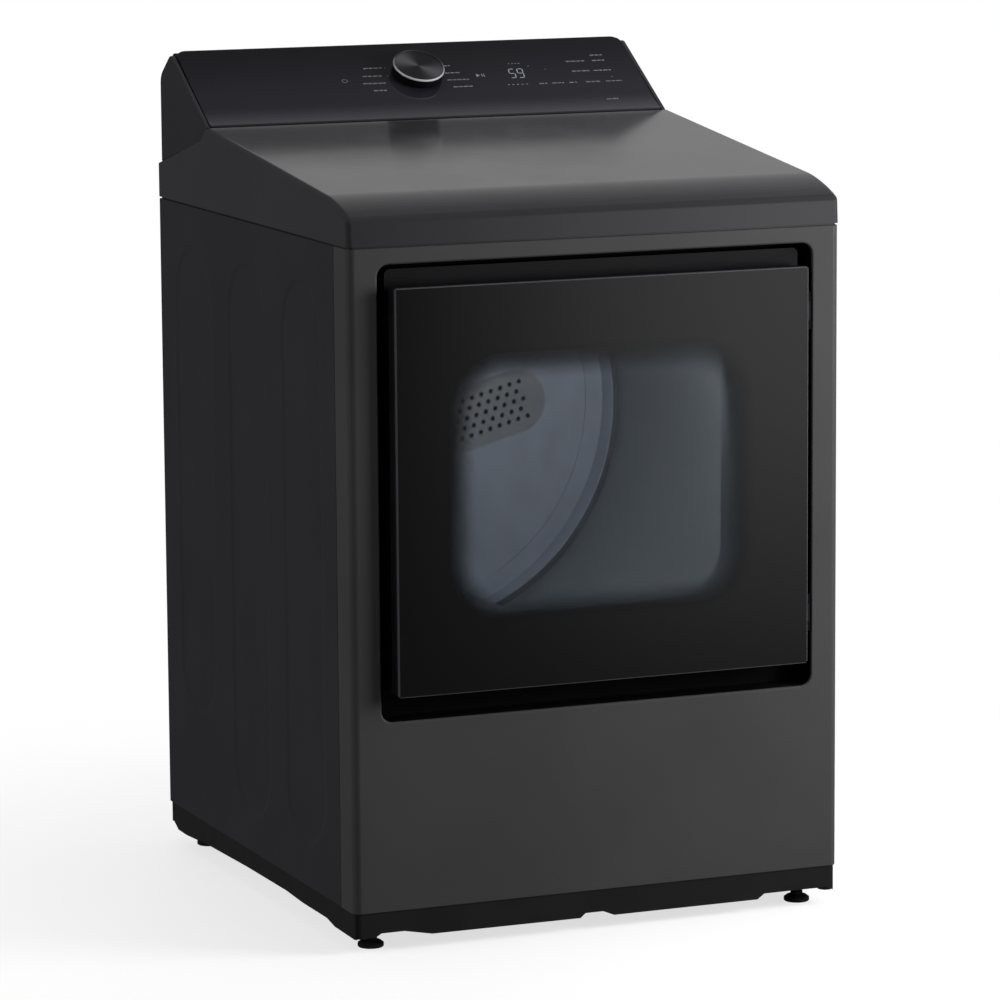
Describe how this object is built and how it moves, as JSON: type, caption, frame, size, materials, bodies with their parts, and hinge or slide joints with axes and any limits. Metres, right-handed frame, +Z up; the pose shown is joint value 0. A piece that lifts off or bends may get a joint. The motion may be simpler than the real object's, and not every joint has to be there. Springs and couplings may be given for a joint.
{
  "type": "clothes dryer",
  "caption": "Full-size front-loading clothes dryer with a sloping rear console, one knob and a tinted glass door that swings sideways or drops forward.",
  "frame": {"origin": "on the floor under the middle of the machine: the bottom centre of the bounding box", "axes": "+X to the right seen from the front, +Y from the front to the back, +Z up; the door faces -Y"},
  "size_m": [0.686, 0.759, 1.1155],
  "materials": {
    "painted_front": "satin graphite enamel",
    "painted_side": "satin dark graphite enamel",
    "painted_top": "satin metallic graphite enamel",
    "galvanised": "galvanised sheet steel",
    "black_plastic": "moulded black plastic",
    "grey_plastic": "moulded grey plastic",
    "gloss_black": "gloss black plastic",
    "black_glass": "black backed glass",
    "tinted_glass": "dark tinted tempered glass",
    "clear_plastic": "clear moulded window",
    "rubber_black": "black rubber",
    "felt": "wool felt",
    "steel": "bright steel",
    "dark_steel": "dark painted steel",
    "spun_metal": "dark spun aluminium with a bright cut edge",
    "drum_coating": "pale grey drum enamel",
    "baffle_plastic": "pale grey moulded plastic",
    "circuit_board": "circuit board",
    "lamp_lens": "frosted lamp lens",
    "coil_wire": "oxidised resistance wire on mica",
    "white_plastic": "white nylon"
  },
  "bodies": {
    "cabinet": {"side_panel_left": "painted_side", "side_panel_right": "painted_side", "front_panel": "painted_front", "rear_panel": "galvanised", "base_pan": "black_plastic", "top_cover": "painted_top", "console_housing": "black_plastic", "console_caps": "painted_side", "console_glass": "black_glass", "control_board": "circuit_board", "front_bulkhead": "galvanised", "mouth_shroud": "grey_plastic", "drum_felts": "felt", "rear_bulkhead": "galvanised", "inlet_grille": "galvanised", "drum_lamp": "lamp_lens", "moisture_sensor": "steel", "filter_housing": "grey_plastic", "blower_housing": "grey_plastic", "exhaust_duct": "galvanised", "heater_housing": "galvanised", "heater_coil": "coil_wire", "rear_duct": "galvanised", "motor": "dark_steel", "motor_mount": "galvanised", "roller_pins": "steel", "drive_belt": "rubber_black", "idler_spring": "steel", "terminal_block": "white_plastic", "hinge_brackets": "dark_steel", "hinge_pins": "steel", "door_catch": "white_plastic", "door_switch": "white_plastic", "fasteners": "steel"},
    "carrier": {"door_carrier": "gloss_black", "carrier_seal": "rubber_black"},
    "door": {"door_frame": "black_plastic", "door_liner": "grey_plastic", "door_glass": "tinted_glass", "door_window": "clear_plastic", "door_seal": "rubber_black", "door_hinge_pins": "steel"},
    "drum": {"drum_shell": "drum_coating", "drum_baffles": "baffle_plastic"},
    "rotor": {"motor_shaft": "steel", "blower_wheel": "black_plastic"},
    "knob": {"knob_body": "gloss_black", "knob_cap": "spun_metal"},
    "filter": {"lint_filter": "grey_plastic"},
    "roller_fl": {"roller_front_left": "rubber_black"},
    "roller_fr": {"roller_front_right": "rubber_black"},
    "roller_rl": {"roller_rear_left": "rubber_black"},
    "roller_rr": {"roller_rear_right": "rubber_black"},
    "idler": {"idler_arm": "galvanised"},
    "idler_wheel": {"idler_pulley": "black_plastic"},
    "switch_button": {"switch_plunger": "white_plastic"},
    "foot_fl": {"foot_front_left": "rubber_black"},
    "foot_fr": {"foot_front_right": "rubber_black"},
    "foot_rl": {"foot_rear_left": "rubber_black"},
    "foot_rr": {"foot_rear_right": "rubber_black"}
  },
  "joints": [
    {"name": "door_swing", "type": "hinge", "parent": "cabinet", "child": "carrier", "pos_m": [0.2955, -0.3575, 0.598], "axis": [0, 0, 1], "range_deg": [0, 100]},
    {"name": "door_drop", "type": "hinge", "parent": "carrier", "child": "door", "pos_m": [0, -0.3595, 0.344], "axis": [1, 0, 0], "range_deg": [0, 55]},
    {"name": "drum_spin", "type": "hinge", "parent": "cabinet", "child": "drum", "pos_m": [0, 0.0435, 0.598], "axis": [0, 1, 0], "continuous": true},
    {"name": "rotor_spin", "type": "hinge", "parent": "cabinet", "child": "rotor", "pos_m": [0.09, -0.1525, 0.175], "axis": [0, 1, 0], "continuous": true},
    {"name": "roller_front_left_spin", "type": "hinge", "parent": "cabinet", "child": "roller_fl", "pos_m": [-0.22453, -0.2155, 0.33042], "axis": [0, 1, 0], "continuous": true},
    {"name": "roller_front_right_spin", "type": "hinge", "parent": "cabinet", "child": "roller_fr", "pos_m": [0.22453, -0.2155, 0.33042], "axis": [0, 1, 0], "continuous": true},
    {"name": "roller_rear_left_spin", "type": "hinge", "parent": "cabinet", "child": "roller_rl", "pos_m": [-0.22453, 0.2825, 0.33042], "axis": [0, 1, 0], "continuous": true},
    {"name": "roller_rear_right_spin", "type": "hinge", "parent": "cabinet", "child": "roller_rr", "pos_m": [0.22453, 0.2825, 0.33042], "axis": [0, 1, 0], "continuous": true},
    {"name": "idler_swing", "type": "hinge", "parent": "cabinet", "child": "idler", "pos_m": [0.0705, 0.0275, 0.1576], "axis": [0, -1, 0], "range_deg": [0, 12], "stiffness_Nm_per_rad": 1.5, "springref_deg": -28.65, "deforming": ["idler_spring"]},
    {"name": "idler_wheel_spin", "type": "hinge", "parent": "idler", "child": "idler_wheel", "pos_m": [0.02, 0.0145, 0.19], "axis": [0, 1, 0], "continuous": true},
    {"name": "knob_turn", "type": "hinge", "parent": "cabinet", "child": "knob", "pos_m": [0, 0.27037, 1.07719], "axis": [0, -0.5284, 0.849], "continuous": true},
    {"name": "lint_filter_lift", "type": "slide", "parent": "cabinet", "child": "filter", "axis": [0, 0, -1], "range_m": [-0.22, 0]},
    {"name": "door_switch_press", "type": "slide", "parent": "cabinet", "child": "switch_button", "axis": [0, 1, 0], "range_m": [0, 0.0015], "stiffness_N_per_m": 400, "springref_m": -0.003},
    {"name": "foot_front_left_screw", "type": "slide", "parent": "cabinet", "child": "foot_fl", "axis": [0, 0, -1], "range_m": [0, 0.02]},
    {"name": "foot_front_right_screw", "type": "slide", "parent": "cabinet", "child": "foot_fr", "axis": [0, 0, -1], "range_m": [0, 0.02]},
    {"name": "foot_rear_left_screw", "type": "slide", "parent": "cabinet", "child": "foot_rl", "axis": [0, 0, -1], "range_m": [0, 0.02]},
    {"name": "foot_rear_right_screw", "type": "slide", "parent": "cabinet", "child": "foot_rr", "axis": [0, 0, -1], "range_m": [0, 0.02]}
  ],
  "couplings": [
    {"joint": "rotor_spin", "follows": "drum_spin", "ratio": 33.368},
    {"joint": "idler_wheel_spin", "follows": "drum_spin", "ratio": -15.85},
    {"joint": "roller_front_left_spin", "follows": "drum_spin", "ratio": -9.9062},
    {"joint": "roller_front_right_spin", "follows": "drum_spin", "ratio": -9.9062},
    {"joint": "roller_rear_left_spin", "follows": "drum_spin", "ratio": -9.9062},
    {"joint": "roller_rear_right_spin", "follows": "drum_spin", "ratio": -9.9062}
  ]
}
